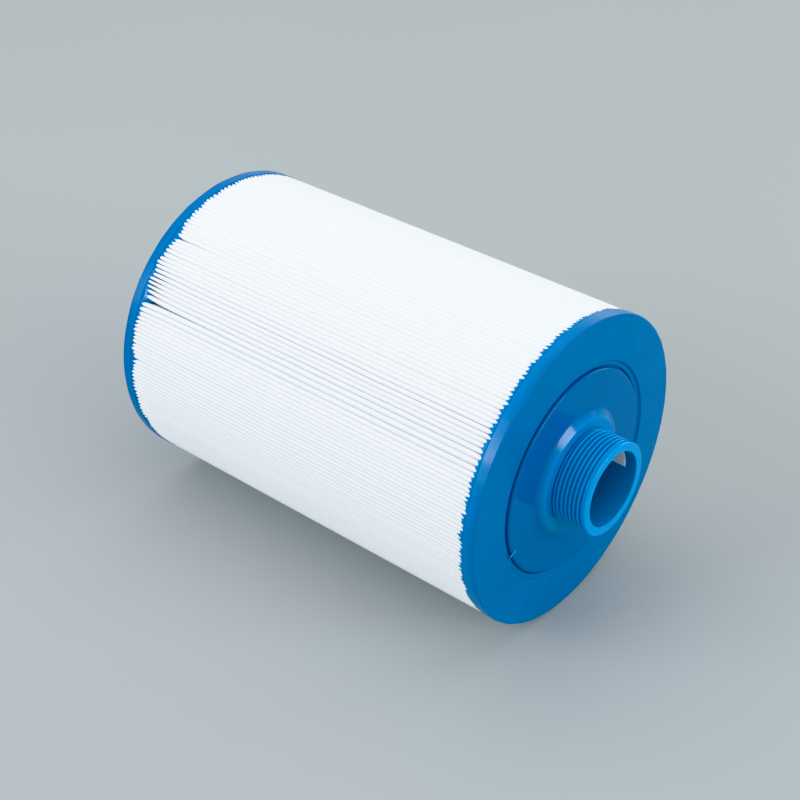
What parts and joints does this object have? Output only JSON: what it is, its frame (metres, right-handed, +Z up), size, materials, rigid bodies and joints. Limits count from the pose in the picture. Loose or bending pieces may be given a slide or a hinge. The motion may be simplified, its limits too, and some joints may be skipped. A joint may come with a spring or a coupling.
{
  "type": "pleated filter cartridge",
  "caption": "Round pleated cloth filter pack between two cast blue end caps, with a male-threaded outlet nipple at one end and a lifting handle at the other.",
  "frame": {"origin": "under the middle of the bounding box, on the plane that the rims of the two end caps lie on", "axes": "+X along the cartridge's axis towards the threaded outlet, +Y to the side, +Z up; the cartridge lies on its side"},
  "size_m": [0.2604, 0.15, 0.15],
  "materials": {
    "cast_blue": "cast polyurethane, satin, with faint mould marks",
    "moulded_blue": "injection moulded, glossy",
    "core_blue": "injection moulded, plain",
    "filter_cloth": "white spunbonded nonwoven, soft and fibrous",
    "seam_glue": "set glue, slightly translucent",
    "blank_label": "blank white paper label"
  },
  "bodies": {
    "root": {"threaded_fitting": "moulded_blue", "threaded_end_cap": "cast_blue", "closed_end_cap": "cast_blue", "handle_insert": "moulded_blue", "centre_core": "core_blue", "pleated_media": "filter_cloth", "seam_bead": "seam_glue", "bore_label": "blank_label"}
  },
  "joints": []
}
